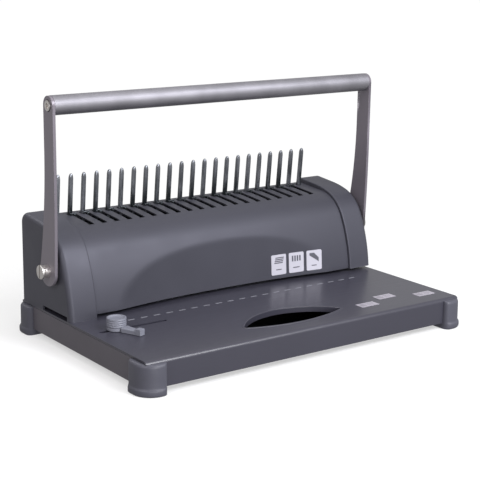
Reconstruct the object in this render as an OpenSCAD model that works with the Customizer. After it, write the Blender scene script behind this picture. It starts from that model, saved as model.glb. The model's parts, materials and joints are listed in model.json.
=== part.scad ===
// Comb binding machine: punches a row of slots along a paper edge and opens
// a plastic comb with hooks that slide in front of a row of upright fingers.
// Origin: centre of the footprint on the table top. +X right, +Y rear, +Z up.

/* [Base] */
// Width of the base and of the housing
base_w = 369; // [367:1:371]
// Depth of the base
base_d = 232; // [230:1:234]
// Height of the paper table above the ground
table_z = 31; // [31:0.5:32]
// Height of the gap under the skirts
skirt_z = 6; // [5:0.5:7]
// Thickness of the table sheet
sheet_t = 2; // [1.5:0.5:2]

/* [Housing] */
// Wall thickness of the housing mouldings
wall_t = 2.5; // [2:0.25:2.5]
// Distance of the front foot of the end caps from the centre line
front_y = 16.3; // [16:0.1:17]
// Width of each end cap
cap_w = 28.9; // [28:0.1:30]
// How far the end caps stand above the centre shell
cap_raise = 3; // [2:0.5:3]
// Height of the paper throat
throat_h = 2.6; // [2:0.1:3]

/* [Comb opener] */
// Distance between two comb rings
pitch = 14.2875; // [14.2:0.0125:14.3]
// Number of upright fingers
finger_count = 22; // [20:2:22]
// Width of a finger
finger_w = 3.8; // [3:0.2:4]
// Height of the finger tips
finger_top_z = 155.6; // [150:1:160]
// Length of the slots that the hooks slide in
slot_len = 40; // [39:1:42]

/* [Handle] */
// Height of the pivot
pivot_z = 75; // [74:0.5:76]
// Distance of the pivot behind the centre line
pivot_y = 49; // [48.5:0.5:49.5]
// Height of the grip tube
grip_z = 231; // [225:1:235]
// Distance of the grip tube behind the centre line
grip_y = 41.3; // [41:0.1:42]
// Diameter of the grip tube
grip_d = 18.4; // [17:0.2:20]
// Thickness of the handle arms
arm_t = 3; // [2.5:0.5:3]
// How far the handle turns forward, in degrees
handle_travel = 85; // [80:1:85]

/* [Punch] */
// How far the punch bar goes down
punch_stroke = 6.2; // [5.5:0.1:6.2]
// Width of one punched slot
punch_w = 8; // [7.5:0.5:8]
// Depth of one punched slot
punch_d = 3; // [2.5:0.5:3]

/* [Hidden] */

// Rounding of true circles
$fn = 64;
// Overlap of cutting bodies past the face they cut
eps = 1;

half_w = base_w / 2;
half_d = base_d / 2;
under_z = table_z - sheet_t;

// Housing profiles: a chain of tangent arcs, each [radius, lean at its end in degrees from
// upright], and the radius of the rear corner. The shell lies cap_raise inside its own one.
first_lean = 4.1;
cap_profile = [[[157, 27], [43.4, 73], [106, 84.3]], 10];
shell_profile = [[[157, 27], [43.4, 73], [43, 85.4]], 8];
rear_y = 115;
arc_steps = 8;
rear_steps = 12;

// Rounding of the outer edge of an end cap
cap_edge = 5;
cap_in_x = half_w - cap_w;
shell_lap = 4;
shell_x = cap_in_x + shell_lap;
seam_z = 90;

// Concave front of the centre shell: a wide upright cylinder, leaning back a little
relief_r = 1254;
relief_y = 33;
relief_lean = 3.9;
relief_fn = 720;

// Side frames and the lanes of the drive outside them
frame_x = 164;
frame_t = 3;
lane_sector = [168, 172.4];
lane_rack = [172.9, 177];
riser_x = [178.5, 180.4];
stud_end_x = 178.1;

tie_y = 96;
tie_z = [44, 82];

// Paper throat
notch_h = 4.5;
notch_y = [20.5, 71];
upper_z = table_z + 3.5;

// Drive
gear_module = 1.25;
sector_teeth = 32;
pinion_teeth = 16;
pressure = 20;
backlash = 0.2;
sector_r = gear_module * sector_teeth / 2;
pinion_r = gear_module * pinion_teeth / 2;
pinion_y = pivot_y + sector_r + pinion_r;
addendum = gear_module;
dedendum = 1.25 * gear_module;
carrier_travel = sector_r * handle_travel * PI / 180;
shaft_r = 6;
washer_gap = 2.6;
arm_in_x = half_w + washer_gap;
arm_out_x = arm_in_x + arm_t;
square_w = 8;

// Screws, pins and studs of the drive and the frame
pin_r = 3;
screw_deep = 12;
tie_r = 5;
bush_r = 8;

// Punch
bar_z = [52, 66.2];
bar_d = 11;
bar_x = 163;
cam_r = 8.4;
cam_x = [157, 162.5];
post_x = 146;
post_r = 3;
post_top_z = 68;
running = 0.05;
pin_gap = 0.1;
ring_count = finger_count - 1;

// Comb opener
comb_shift = -3.5;
finger_y = 99.1;
finger_lean = 5.6;
hook_shift = 3.9;
hook_t = 2.4;
carrier_z = 97;
carrier_t = 2.5;
carrier_y = [90, 102];
plate_y = [55, 105];
plate_z = [102.6, 105];
slot_w = 3.4;
slot_y = 102;
hook_y = 93;

// Edge guide
guide_y = -22;
guide_x = -158;
guide_slot_x = [-176, -104];
guide_slot_w = 5;
knob_r = 9.2;
knob_h = 12;
guide_low = table_z + 0.2;
disc_z = table_z + 3;
knob_z = [table_z + 3.2, table_z + knob_h];
stud_r = 2;
stud_top_z = table_z + 9;

// Hand hole: two arcs between two tips
hole_half = 58;
hole_tip_y = -83;
hole_rear_rise = 30;
hole_front_rise = 12;
rim_depth = 5;
rim_t = 2;

// Chip tray
tray_y = [22, 80];
tray_x = [-158, 181];
tray_z = [8.4, 21.5];
tray_t = 2;

function finger_x(i) = comb_shift + (i - (finger_count - 1) / 2) * pitch;
function ring_x(k) = comb_shift + (k - (ring_count - 1) / 2) * pitch;

// Direction along the profile at a lean, and the direction into the housing
function along(a) = [sin(a), cos(a)];
function inward(a) = [cos(a), -sin(a)];

// Centre of profile arc i, from the point where the arc before it ends
function arc_lean(p, i) = i == 0 ? first_lean : p[0][i - 1][1];
function arc_start(p, i) =
    i == 0 ? [front_y, table_z]
           : arc_centre(p, i - 1) - p[0][i - 1][0] * inward(p[0][i - 1][1]);
function arc_centre(p, i) = arc_start(p, i) + p[0][i][0] * inward(arc_lean(p, i));

function top_lean(p) = p[0][len(p[0]) - 1][1];
function rear_centre(p) =
    let (
        top = arc_start(p, len(p[0])),
        run = (rear_y - p[1] - p[1] * cos(top_lean(p)) - top[0]) / sin(top_lean(p))
    )
    top + run * along(top_lean(p)) + p[1] * inward(top_lean(p));

function arc_points(c, r, a0, a1, n) = [for (k = [0:n]) c - r * inward(a0 + (a1 - a0) * k / n)];

// Housing outline in the YZ plane, moved inwards by inset
function outline(p, inset) = concat(
    [arc_start(p, 0) + inset * inward(first_lean) - 2 * wall_t * along(first_lean)],
    [for (i = [0:len(p[0]) - 1]) each arc_points(
        arc_centre(p, i), p[0][i][0] - inset, arc_lean(p, i), p[0][i][1], arc_steps)],
    arc_points(rear_centre(p), p[1] - inset, top_lean(p), 180, rear_steps),
    [[rear_y - inset, table_z - 2 * wall_t]]
);

// Extrudes a YZ outline from x0 to x1
module along_x(x0, x1) {
    translate([x0, 0, 0])
        rotate([90, 0, 90])
            linear_extrude(x1 - x0)
                children();
}

// A box between two corners
module block(x, y, z) {
    translate([x[0], y[0], z[0]])
        cube([x[1] - x[0], y[1] - y[0], z[1] - z[0]]);
}

// A rod along X
module rod_x(x0, x1, y, z, r) {
    translate([x0, y, z])
        rotate([0, 90, 0])
            cylinder(h = x1 - x0, r = r);
}

// A rod along Z
module rod_z(x, y, z0, z1, r) {
    translate([x, y, z0])
        cylinder(h = z1 - z0, r = r);
}

// A prism on a rounded rectangle
module rounded_block(x, y, z, r) {
    translate([0, 0, z[0]])
        linear_extrude(z[1] - z[0])
            union() {
                translate([x[0] + r, y[0]]) square([x[1] - x[0] - 2 * r, y[1] - y[0]]);
                translate([x[0], y[0] + r]) square([x[1] - x[0], y[1] - y[0] - 2 * r]);
                for (cx = [x[0] + r, x[1] - r], cy = [y[0] + r, y[1] - r])
                    translate([cx, cy]) circle(r = r);
            }
}

module housing_section(p, inset) {
    intersection() {
        polygon(outline(p, inset));
        translate([0, table_z]) square([rear_y, rear_y]);
    }
}

// The concave relief cylinder, moved back by wall
module relief(wall) {
    translate([0, relief_y - relief_r / cos(relief_lean), table_z])
        rotate([-relief_lean, 0, 0])
            translate([0, 0, -2 * relief_r * sin(relief_lean)])
                cylinder(h = 4 * relief_r * sin(relief_lean), r = relief_r + wall, $fn = relief_fn);
}

/* ---------- base ---------- */

// Plan outline of the hand hole, grown by grow
module hand_hole_plan(grow) {
    rear_arc_r = (hole_half * hole_half + hole_rear_rise * hole_rear_rise) / (2 * hole_rear_rise);
    front_arc_r = (hole_half * hole_half + hole_front_rise * hole_front_rise) / (2 * hole_front_rise);
    intersection() {
        translate([0, hole_tip_y + hole_rear_rise - rear_arc_r]) circle(r = rear_arc_r + grow, $fn = 180);
        translate([0, hole_tip_y - hole_front_rise + front_arc_r]) circle(r = front_arc_r + grow, $fn = 360);
    }
}

foot_in_x = half_w - 19.5;
foot_in_y = half_d - 24;

module table_top() {
    fold_r = 4;
    die_open_y = [35, 62];
    color([0.27, 0.27, 0.30])
        difference() {
            union() {
                difference() {
                    union() {
                        block([-half_w, half_w], [-half_d + fold_r, half_d - sheet_t], [under_z, table_z]);
                        along_x(-half_w, half_w)
                            translate([-half_d + fold_r, table_z - fold_r])
                                circle(r = fold_r);
                        block([-half_w, half_w], [-half_d, -half_d + sheet_t], [skirt_z, table_z - fold_r]);
                    }
                    along_x(-half_w - eps, half_w + eps)
                        translate([-half_d + fold_r, table_z - fold_r])
                            circle(r = fold_r - sheet_t);
                    block([-half_w - eps, half_w + eps], [-half_d + sheet_t, -half_d + 2 * fold_r],
                          [skirt_z - eps, table_z - fold_r]);
                    block([-half_w - eps, half_w + eps], [-half_d + fold_r, -half_d + 2 * fold_r],
                          [skirt_z - eps, under_z]);
                    for (side = [-1, 1])
                        block(side > 0 ? [foot_in_x - 0.5, half_w + eps] : [-half_w - eps, -foot_in_x + 0.5],
                              [-half_d - eps, -half_d + 2 * fold_r], [skirt_z - eps, under_z - 0.4]);
                }
                translate([0, 0, table_z - rim_depth])
                    linear_extrude(rim_depth)
                        hand_hole_plan(rim_t);
            }
            translate([0, 0, table_z - rim_depth - eps])
                linear_extrude(rim_depth + 2 * eps)
                    hand_hole_plan(0);
            block([-frame_x, frame_x], die_open_y, [under_z - eps, table_z + eps]);
            rounded_block(guide_slot_x, [guide_y - guide_slot_w / 2, guide_y + guide_slot_w / 2],
                          [under_z - eps, table_z + eps], guide_slot_w / 2 - 0.01);
        }
}

module side_skirt(side) {
    flange_w = 8;
    color([0.30, 0.29, 0.30])
        mirror([side < 0 ? 1 : 0, 0, 0])
            difference() {
                union() {
                    block([half_w - wall_t, half_w], [-foot_in_y, foot_in_y], [skirt_z, under_z - 0.4]);
                    block([half_w - wall_t - flange_w, half_w - wall_t], [-foot_in_y, foot_in_y],
                          [skirt_z, skirt_z + sheet_t]);
                }
                if (side > 0)
                    block([half_w - 2 * wall_t - flange_w, half_w + eps], [tray_y[0] - 1, tray_y[1] + 1],
                          [skirt_z + sheet_t, tray_z[1] + 1]);
            }
}

module side_skirt_left() { side_skirt(-1); }
module side_skirt_right() { side_skirt(1); }

module rear_skirt() {
    color([0.30, 0.29, 0.30])
        block([-foot_in_x, foot_in_x], [half_d - sheet_t, half_d], [skirt_z, table_z]);
}

module bottom_plate() {
    plate_x = half_w - wall_t - 8.5;
    plate_y = half_d - sheet_t - 0.5;
    color([0.32, 0.32, 0.34])
        difference() {
            block([-plate_x, plate_x], [-plate_y, plate_y], [skirt_z, skirt_z + 1.2]);
            for (sx = [-1, 1], sy = [-1, 1])
                block([sx * plate_x - 16, sx * plate_x + 16], [sy * plate_y - 24, sy * plate_y + 24],
                      [skirt_z - eps, skirt_z + 3]);
        }
}

// A corner foot: a rounded post with a flared ring at the ground
foot_out = 5.5;
foot_r = 17;
foot_top = under_z - 0.4;

// Screw that holds a foot: its place from the foot's inner corner, and its sizes
foot_screw_x = foot_in_x + 12;
foot_screw_y = foot_in_y + 14;
foot_screw_r = 1.5;
foot_screw_top = 22;
foot_screw_head = [3.8, 1.2, 4];

module foot(sx, sy) {
    post_out_x = half_w + foot_out;
    post_out_y = half_d + foot_out;
    flare = 1.5;
    flare_z = 6.5;
    color([0.36, 0.37, 0.41])
        mirror([sx < 0 ? 1 : 0, 0, 0])
            mirror([0, sy < 0 ? 1 : 0, 0])
                difference() {
                    union() {
                        corner_post([foot_in_x, post_out_x], [foot_in_y, post_out_y], [1, foot_top], foot_r);
                        corner_post([foot_in_x, post_out_x + flare], [foot_in_y, post_out_y + flare],
                                    [1, flare_z], foot_r + flare);
                        corner_post([foot_in_x + 1, post_out_x + flare - 1],
                                    [foot_in_y + 1, post_out_y + flare - 1], [0, 1], foot_r);
                    }
                    rod_z(foot_screw_x, foot_screw_y, -eps, foot_screw_head[2], foot_screw_head[0] + 0.4);
                    rod_z(foot_screw_x, foot_screw_y, foot_screw_head[2] - eps, foot_screw_top, foot_screw_r);
                }
}

// A prism whose outer corner alone is round
module corner_post(x, y, z, r) {
    translate([0, 0, z[0]])
        linear_extrude(z[1] - z[0])
            union() {
                translate([x[0], y[0]]) square([x[1] - x[0] - r, y[1] - y[0]]);
                translate([x[0], y[0]]) square([x[1] - x[0], y[1] - y[0] - r]);
                intersection() {
                    translate([x[1] - r, y[1] - r]) circle(r = r);
                    translate([x[1] - r, y[1] - r]) square([r, r]);
                }
            }
}

module foot_front_left() { foot(-1, -1); }
module foot_front_right() { foot(1, -1); }
module foot_rear_left() { foot(-1, 1); }
module foot_rear_right() { foot(1, 1); }

module foot_screws() {
    color("silver")
        for (sx = [-1, 1], sy = [-1, 1]) {
            x = sx * foot_screw_x;
            y = sy * foot_screw_y;
            cross = [3, 0.5];
            cross_z = [0, 2];
            difference() {
                rod_z(x, y, foot_screw_head[1], foot_screw_head[2], foot_screw_head[0]);
                block([x - cross[0], x + cross[0]], [y - cross[1], y + cross[1]], cross_z);
                block([x - cross[1], x + cross[1]], [y - cross[0], y + cross[0]], cross_z);
            }
            rod_z(x, y, foot_screw_head[2], foot_screw_top, foot_screw_r);
        }
}

/* ---------- frame and dies ---------- */

module side_frame(side) {
    flange_w = 14;
    flange_rear_y = 107;
    shell_gap = 3.5;
    guide_gap = 0.3;
    color([0.62, 0.63, 0.65])
        mirror([side < 0 ? 1 : 0, 0, 0])
            difference() {
                union() {
                    along_x(frame_x, frame_x + frame_t)
                        housing_section(cap_profile, wall_t + shell_gap);
                    block([frame_x - flange_w, frame_x], [notch_y[1] + 4, flange_rear_y],
                          [table_z, table_z + frame_t]);
                }
                block([frame_x - eps, frame_x + frame_t + eps], [0, notch_y[1]],
                      [table_z - eps, table_z + notch_h]);
                rod_x(frame_x - eps, frame_x + frame_t + eps, pivot_y, pivot_z, bush_r);
                rod_x(frame_x - eps, frame_x + frame_t + eps, pinion_y, pivot_z, pin_r);
                block([frame_x - eps, frame_x + frame_t + eps],
                      [carrier_y[0] - carrier_travel - 1, carrier_y[1] + 2 * guide_gap],
                      [carrier_z - guide_gap, carrier_z + carrier_t + guide_gap]);
                for (z = tie_z)
                    rod_x(frame_x - eps, frame_x + frame_t + eps, tie_y, z, pin_r);
            }
}

module side_frame_left() { side_frame(-1); }
module side_frame_right() { side_frame(1); }

module tie_rods() {
    color([0.70, 0.71, 0.73])
        for (z = tie_z)
            rod_x(-frame_x, frame_x, tie_y, z, tie_r);
}

module frame_screws() {
    head = [4.8, 2.5];
    key = [2.2, 1.5];
    color("silver")
        for (side = [-1, 1], z = tie_z)
            mirror([side < 0 ? 1 : 0, 0, 0])
                difference() {
                    union() {
                        rod_x(frame_x, frame_x + frame_t, tie_y, z, pin_r);
                        rod_x(frame_x + frame_t, frame_x + frame_t + head[1], tie_y, z, head[0]);
                    }
                    translate([frame_x + frame_t + head[1] - key[1], tie_y, z])
                        rotate([0, 90, 0])
                            cylinder(h = key[1] + eps, r = key[0], $fn = 6);
                }
}

module punched_slots(z0, z1, gap) {
    for (k = [1:ring_count - 2])
        block([ring_x(k) - punch_w / 2 - gap, ring_x(k) + punch_w / 2 + gap],
              [pivot_y - punch_d / 2 - gap, pivot_y + punch_d / 2 + gap], [z0, z1]);
}

die_y = [30, 68];
die_low_z = 23;
die_throat_y = [35.1, 61.9];
stripper_y = [38.5, 68];
stripper_t = 4;
stop_y = [54, 61.9];

module lower_die() {
    color([0.55, 0.56, 0.58])
        difference() {
            union() {
                block([-frame_x, frame_x], die_y, [die_low_z, under_z]);
                block([-frame_x, frame_x], die_throat_y, [under_z, table_z]);
            }
            punched_slots(die_low_z - eps, table_z + eps, 2 * pin_gap);
        }
}

module stripper_plate() {
    color([0.60, 0.61, 0.63])
        difference() {
            block([-frame_x, frame_x], stripper_y, [upper_z, upper_z + stripper_t]);
            punched_slots(upper_z - eps, upper_z + stripper_t + eps, pin_gap);
        }
}

module paper_stop() {
    color([0.45, 0.46, 0.48])
        block([-frame_x, frame_x], stop_y, [table_z, upper_z]);
}

module guide_posts() {
    color([0.75, 0.76, 0.78])
        for (side = [-1, 1])
            rod_z(side * post_x, pivot_y, upper_z + stripper_t, post_top_z, post_r);
}

/* ---------- punch ---------- */

module punch_bar() {
    color([0.50, 0.51, 0.54])
        difference() {
            block([-bar_x, bar_x], [pivot_y - bar_d / 2, pivot_y + bar_d / 2], bar_z);
            for (side = [-1, 1])
                rod_z(side * post_x, pivot_y, bar_z[0] - eps, bar_z[1] + eps, post_r + running);
        }
}

module punch_pins() {
    color([0.68, 0.69, 0.72])
        for (k = [1:ring_count - 2])
            punch_pin(ring_x(k));
}

module punch_pin(x) {
    block([x - punch_w / 2, x + punch_w / 2], [pivot_y - punch_d / 2, pivot_y + punch_d / 2],
          [upper_z + 0.5, bar_z[0]]);
}

// Coil spring round a guide post, as a swept tube
spring_r = 4.6;
spring_wire = 0.65;
spring_turns = 4;
spring_steps = 14;
spring_sides = 6;
spring_z0 = upper_z + stripper_t + spring_wire;
spring_z1 = bar_z[0] - spring_wire;

function spring_ring(s) =
    let (
        turn = 360 * s / spring_steps,
        z = spring_z0 + (spring_z1 - spring_z0) * s / (spring_turns * spring_steps)
    )
    [for (k = [0:spring_sides - 1])
        let (a = 360 * k / spring_sides, r = spring_r + spring_wire * cos(a))
        [r * cos(turn), r * sin(turn), z + spring_wire * sin(a)]];

module coil_spring() {
    rings = spring_turns * spring_steps;
    points = [for (s = [0:rings]) each spring_ring(s)];
    skin = [for (s = [0:rings - 1], k = [0:spring_sides - 1])
        let (n = (k + 1) % spring_sides)
        [s * spring_sides + k, (s + 1) * spring_sides + k, (s + 1) * spring_sides + n, s * spring_sides + n]];
    start_cap = [[for (k = [0:spring_sides - 1]) k]];
    end_cap = [[for (k = [spring_sides - 1:-1:0]) rings * spring_sides + k]];
    polyhedron(points = points, faces = concat(skin, start_cap, end_cap));
}

module punch_springs() {
    color("silver")
        for (side = [-1, 1])
            translate([side * post_x, pivot_y, 0])
                coil_spring();
}

/* ---------- handle ---------- */

// Edges of the handle arm: straight above, bowed outwards towards the pivot
function arm_front(z) = 32.2 + pow(max(0, 165 - z), 2) / 3520;
function arm_rear(z) = 50.3 + pow(max(0, 190 - z), 2) / 994;
arm_step = 10;
grip_recess = [5.6, 1.5];

module arm_outline() {
    levels = [for (z = [pivot_z:arm_step:grip_z]) z];
    polygon(concat(
        [for (z = levels) [arm_front(z), z]],
        [[arm_front(grip_z), grip_z], [arm_rear(grip_z), grip_z]],
        [for (k = [len(levels) - 1:-1:0]) [arm_rear(levels[k]), levels[k]]]
    ));
    translate([(arm_front(grip_z) + arm_rear(grip_z)) / 2, grip_z])
        circle(d = arm_rear(grip_z) - arm_front(grip_z));
    translate([(arm_front(pivot_z) + arm_rear(pivot_z)) / 2, pivot_z])
        circle(d = arm_rear(pivot_z) - arm_front(pivot_z));
}

module handle_arm(side) {
    color([0.33, 0.32, 0.36])
        mirror([side < 0 ? 1 : 0, 0, 0])
            difference() {
                along_x(arm_in_x, arm_out_x)
                    arm_outline();
                block([arm_in_x - eps, arm_out_x + eps], [pivot_y - square_w / 2, pivot_y + square_w / 2],
                      [pivot_z - square_w / 2, pivot_z + square_w / 2]);
                rod_x(arm_in_x - eps, arm_out_x + eps, grip_y, grip_z, pin_r);
                rod_x(arm_out_x - grip_recess[1], arm_out_x + eps, grip_y, grip_z, grip_recess[0]);
            }
}

module handle_arm_left() { handle_arm(-1); }
module handle_arm_right() { handle_arm(1); }

module grip_tube() {
    tube_wall = 1.5;
    plug_len = screw_deep;
    color([0.74, 0.72, 0.78])
        difference() {
            rod_x(-arm_in_x, arm_in_x, grip_y, grip_z, grip_d / 2);
            rod_x(-arm_in_x + plug_len, arm_in_x - plug_len, grip_y, grip_z, grip_d / 2 - tube_wall);
            for (side = [-1, 1])
                rod_x(side > 0 ? arm_in_x - plug_len - eps : -arm_in_x - eps,
                      side > 0 ? arm_in_x + eps : -arm_in_x + plug_len + eps, grip_y, grip_z, pin_r);
        }
}

module grip_screws() {
    head = [5, 0.8];
    key = [2.6, 1.5];
    color("silver")
        for (side = [-1, 1])
            mirror([side < 0 ? 1 : 0, 0, 0])
                difference() {
                    union() {
                        rod_x(arm_in_x - screw_deep, arm_out_x - grip_recess[1], grip_y, grip_z, pin_r);
                        rod_x(arm_out_x - grip_recess[1], arm_out_x + head[1], grip_y, grip_z, head[0]);
                    }
                    translate([arm_out_x + head[1] - key[1], grip_y, grip_z])
                        rotate([0, 90, 0])
                            cylinder(h = key[1] + eps, r = key[0], $fn = 6);
                }
}

// Pivot bolt: [radius, length] of its barrel and head
bolt_barrel = [5.4, 5.6];
bolt_head = [6.8, 2.8];
bolt_edge = 0.6;
bolt_slot = [0.7, 1.2];

module pivot_bolts() {
    head_x = arm_out_x + bolt_barrel[1];
    color([0.80, 0.79, 0.77])
        for (side = [-1, 1])
            mirror([side < 0 ? 1 : 0, 0, 0])
                difference() {
                    union() {
                        rod_x(arm_in_x - screw_deep, arm_out_x, pivot_y, pivot_z, pin_r);
                        rod_x(arm_out_x, head_x, pivot_y, pivot_z, bolt_barrel[0]);
                        rod_x(head_x, head_x + bolt_head[1] - bolt_edge, pivot_y, pivot_z, bolt_head[0]);
                        rod_x(head_x, head_x + bolt_head[1], pivot_y, pivot_z, bolt_head[0] - bolt_edge);
                    }
                    block([head_x + bolt_head[1] - bolt_slot[1], head_x + bolt_head[1] + eps],
                          [pivot_y - bolt_slot[0], pivot_y + bolt_slot[0]],
                          [pivot_z - bolt_head[0] - eps, pivot_z + bolt_head[0] + eps]);
                }
}

module drive_shaft() {
    color([0.66, 0.67, 0.70])
        difference() {
            union() {
                rod_x(-arm_in_x, arm_in_x, pivot_y, pivot_z, shaft_r);
                block([-arm_out_x, arm_out_x], [pivot_y - square_w / 2, pivot_y + square_w / 2],
                      [pivot_z - square_w / 2, pivot_z + square_w / 2]);
            }
            for (side = [-1, 1])
                rod_x(side > 0 ? arm_in_x - screw_deep : -arm_out_x - eps,
                      side > 0 ? arm_out_x + eps : -arm_in_x + screw_deep, pivot_y, pivot_z, pin_r);
        }
}

module shaft_washers() {
    washer_r = 10;
    cap_gap = 0.3;
    color([0.75, 0.75, 0.76])
        for (side = [-1, 1])
            mirror([side < 0 ? 1 : 0, 0, 0])
                difference() {
                    rod_x(half_w + cap_gap, arm_in_x, pivot_y, pivot_z, washer_r);
                    rod_x(half_w - eps, arm_in_x + eps, pivot_y, pivot_z, shaft_r);
                }
}

module shaft_bushes() {
    collar = [10, 1];
    color([0.72, 0.60, 0.36])
        for (side = [-1, 1])
            mirror([side < 0 ? 1 : 0, 0, 0])
                difference() {
                    union() {
                        rod_x(frame_x - collar[1], frame_x, pivot_y, pivot_z, collar[0]);
                        rod_x(frame_x, frame_x + frame_t + 0.4, pivot_y, pivot_z, bush_r);
                    }
                    rod_x(frame_x - collar[1] - eps, frame_x + frame_t + eps, pivot_y, pivot_z,
                          shaft_r + running);
                }
}

// Cam with a flat follower: the curve whose height grows evenly as the handle turns
cam_rate = punch_stroke / (handle_travel * PI / 180);
cam_steps = 17;

function cam_point(turned) =
    let (a = 270 - turned, h = cam_r + cam_rate * turned * PI / 180)
    [h * cos(a) + cam_rate * sin(a), h * sin(a) - cam_rate * cos(a)];

module punch_cams() {
    color([0.58, 0.59, 0.62])
        for (side = [-1, 1])
            mirror([side < 0 ? 1 : 0, 0, 0])
                difference() {
                    along_x(cam_x[0], cam_x[1])
                        translate([pivot_y, pivot_z]) {
                            circle(r = cam_r);
                            polygon(concat(
                                [[0, 0]],
                                [for (k = [0:cam_steps]) cam_point(handle_travel * k / cam_steps)],
                                [[-cam_r * cos(40), cam_r * sin(40)]]
                            ));
                        }
                    rod_x(cam_x[0] - eps, cam_x[1] + eps, pivot_y, pivot_z, shaft_r);
                }
}

/* ---------- gears ---------- */

function involute_angle(r, base_r) = sqrt(pow(r / base_r, 2) - 1) * 180 / PI - acos(base_r / r);

// Half the angle that one tooth fills at radius r
function half_tooth(r, teeth) =
    let (
        pitch_r = gear_module * teeth / 2,
        base_r = pitch_r * cos(pressure),
        at_pitch = (PI * gear_module / 2 - backlash) / 2 / pitch_r * 180 / PI
    )
    at_pitch + involute_angle(pitch_r, base_r) - involute_angle(max(r, base_r), base_r);

flank_steps = 5;
tip_gap = 0.1;

// Outline of one tooth, from its root on one side to its root on the other
function tooth_points(teeth, angle) =
    let (
        pitch_r = gear_module * teeth / 2,
        base_r = pitch_r * cos(pressure),
        root_r = pitch_r - dedendum,
        low = max(root_r, base_r),
        high = pitch_r + addendum - tip_gap,
        radii = [for (k = [0:flank_steps]) low + (high - low) * k / flank_steps],
        foot_angle = half_tooth(base_r, teeth)
    )
    concat(
        [root_r * [cos(angle - foot_angle), sin(angle - foot_angle)]],
        [for (r = radii) r * [cos(angle - half_tooth(r, teeth)), sin(angle - half_tooth(r, teeth))]],
        [for (k = [flank_steps:-1:0])
            radii[k] * [cos(angle + half_tooth(radii[k], teeth)), sin(angle + half_tooth(radii[k], teeth))]],
        [root_r * [cos(angle + foot_angle), sin(angle + foot_angle)]]
    );

tooth_angle = 360 / sector_teeth;
sector_first = -9;
sector_last = 1;

module drive_sector(side) {
    hub_r = 9.5;
    color([0.60, 0.60, 0.63])
        mirror([side < 0 ? 1 : 0, 0, 0])
            difference() {
                along_x(lane_sector[0], lane_sector[1])
                    translate([pivot_y, pivot_z]) {
                        circle(r = hub_r);
                        polygon(concat([[0, 0]], [for (k = [sector_first:sector_last])
                            each tooth_points(sector_teeth, k * tooth_angle)]));
                    }
                rod_x(lane_sector[0] - eps, lane_sector[1] + eps, pivot_y, pivot_z, shaft_r);
            }
}

module drive_sector_left() { drive_sector(-1); }
module drive_sector_right() { drive_sector(1); }

module pinion(side) {
    color([0.70, 0.66, 0.55])
        mirror([side < 0 ? 1 : 0, 0, 0])
            difference() {
                along_x(lane_sector[0], lane_rack[1])
                    translate([pinion_y, pivot_z])
                        polygon([for (k = [0:pinion_teeth - 1])
                            each tooth_points(pinion_teeth, (k + 0.5) * 360 / pinion_teeth)]);
                rod_x(lane_sector[0] - eps, lane_rack[1] + eps, pinion_y, pivot_z, pin_r + running);
            }
}

module pinion_left() { pinion(-1); }
module pinion_right() { pinion(1); }

module pinion_studs() {
    rivet_r = 5;
    head_r = 4.2;
    head_x = lane_rack[1] + 0.2;
    color("silver")
        for (side = [-1, 1])
            mirror([side < 0 ? 1 : 0, 0, 0]) {
                rod_x(frame_x - 2, frame_x, pinion_y, pivot_z, rivet_r);
                rod_x(frame_x, head_x, pinion_y, pivot_z, pin_r);
                rod_x(head_x, stud_end_x, pinion_y, pivot_z, head_r);
            }
}

/* ---------- comb opener ---------- */

lug_y = [90.5, 101.5];

module hook_carrier() {
    color([0.64, 0.65, 0.67]) {
        block([-frame_x + 0.5, frame_x - 0.5], carrier_y, [carrier_z, carrier_z + carrier_t]);
        for (side = [-1, 1])
            mirror([side < 0 ? 1 : 0, 0, 0])
                block([frame_x - 2, riser_x[1]], lug_y, [carrier_z, carrier_z + carrier_t]);
    }
}

// One hook: a stem in the slot and a nose in front of the finger beside it
module comb_hook(i) {
    nose_z = [114.6, 119];
    x = finger_x(i);
    block([x + hook_shift - hook_t / 2, x + hook_shift + hook_t / 2], [hook_y, hook_y + 4],
          [carrier_z + carrier_t, nose_z[0] + 1]);
    block([x - 1.6, x + hook_shift + hook_t / 2], [hook_y, hook_y + 1.8], nose_z);
}

module comb_hooks() {
    color([0.72, 0.75, 0.78])
        for (i = [1:finger_count - 2])
            comb_hook(i);
}

// Rack under each pinion, with an upright that joins it to the hook carrier
module carrier_rack(side) {
    rack_pitch = PI * gear_module;
    line_z = pivot_z - pinion_r;
    low_z = line_z - dedendum;
    high_z = line_z + addendum - tip_gap;
    y0 = pinion_y - 5;
    y1 = 110.8;
    bar_low = 58.5;
    slope = tan(pressure);
    half_w_pitch = rack_pitch / 4 - backlash / 2;
    color([0.64, 0.65, 0.67])
        mirror([side < 0 ? 1 : 0, 0, 0]) {
            along_x(lane_rack[0], lane_rack[1])
                intersection() {
                    translate([y0, bar_low]) square([y1 - y0, 10]);
                    union() {
                        translate([y0, bar_low]) square([y1 - y0, low_z - bar_low]);
                        for (k = [-2:9])
                            translate([pinion_y + k * rack_pitch, line_z])
                                polygon([
                                    [-half_w_pitch - slope * dedendum, -dedendum - 0.2],
                                    [half_w_pitch + slope * dedendum, -dedendum - 0.2],
                                    [half_w_pitch - slope * (high_z - line_z), high_z - line_z],
                                    [-half_w_pitch + slope * (high_z - line_z), high_z - line_z]
                                ]);
                    }
                }
            block([lane_rack[1] - 2, riser_x[1]], lug_y, [bar_low, low_z - 0.5]);
            block(riser_x, lug_y, [bar_low, carrier_z]);
        }
}

module carrier_rack_left() { carrier_rack(-1); }
module carrier_rack_right() { carrier_rack(1); }

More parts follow.
